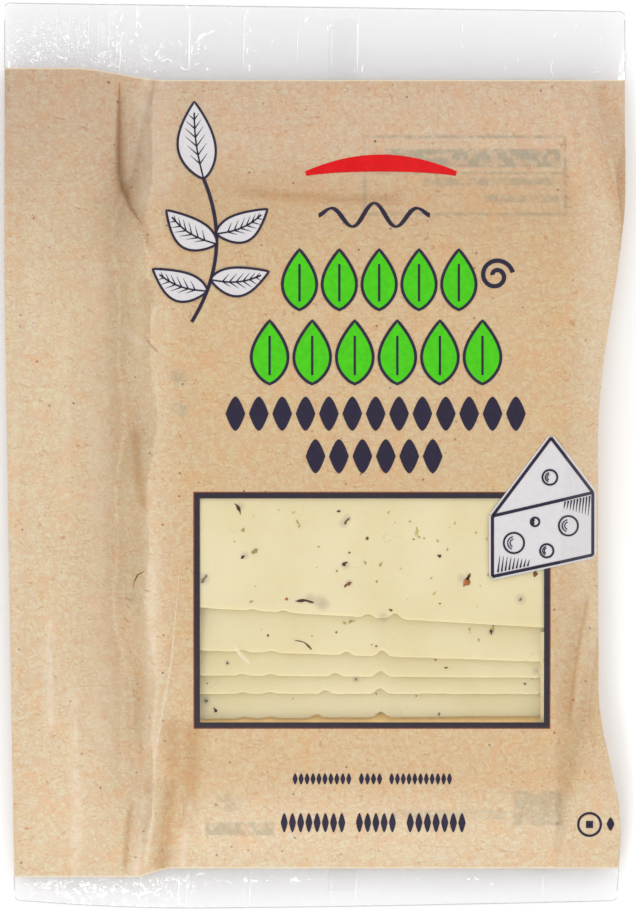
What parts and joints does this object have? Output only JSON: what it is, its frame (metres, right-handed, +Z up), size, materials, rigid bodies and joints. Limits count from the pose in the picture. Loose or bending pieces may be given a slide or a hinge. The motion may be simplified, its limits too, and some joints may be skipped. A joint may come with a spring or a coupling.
{
  "type": "pack of sliced cheese",
  "caption": "Sealed film pack of fanned cheese slices, lying flat, with a kraft-brown printed front, a clear window over the slices, clear crimped ends and a fin seal down the back",
  "frame": {"origin": "middle of the pack's outline on the table it lies on", "axes": "+X is the pack's right, +Y its top end and +Z up out of its printed front; the pack lies on its back"},
  "size_m": [0.1594, 0.2326, 0.0232],
  "materials": {
    "printed_film": "satin printed film",
    "clear_film": "clear gloss film",
    "cheese": "moist, soft satin"
  },
  "bodies": {
    "root": {"printed_pouch": "printed_film", "window_film": "clear_film", "top_clear_band": "clear_film", "bottom_clear_band": "clear_film", "back_seam": "printed_film", "cheese_slice_01": "cheese", "cheese_slice_02": "cheese", "cheese_slice_03": "cheese", "cheese_slice_04": "cheese", "cheese_slice_05": "cheese", "cheese_slice_06": "cheese", "cheese_slice_07": "cheese", "cheese_slice_08": "cheese", "cheese_slice_09": "cheese", "cheese_slice_10": "cheese"}
  },
  "joints": []
}
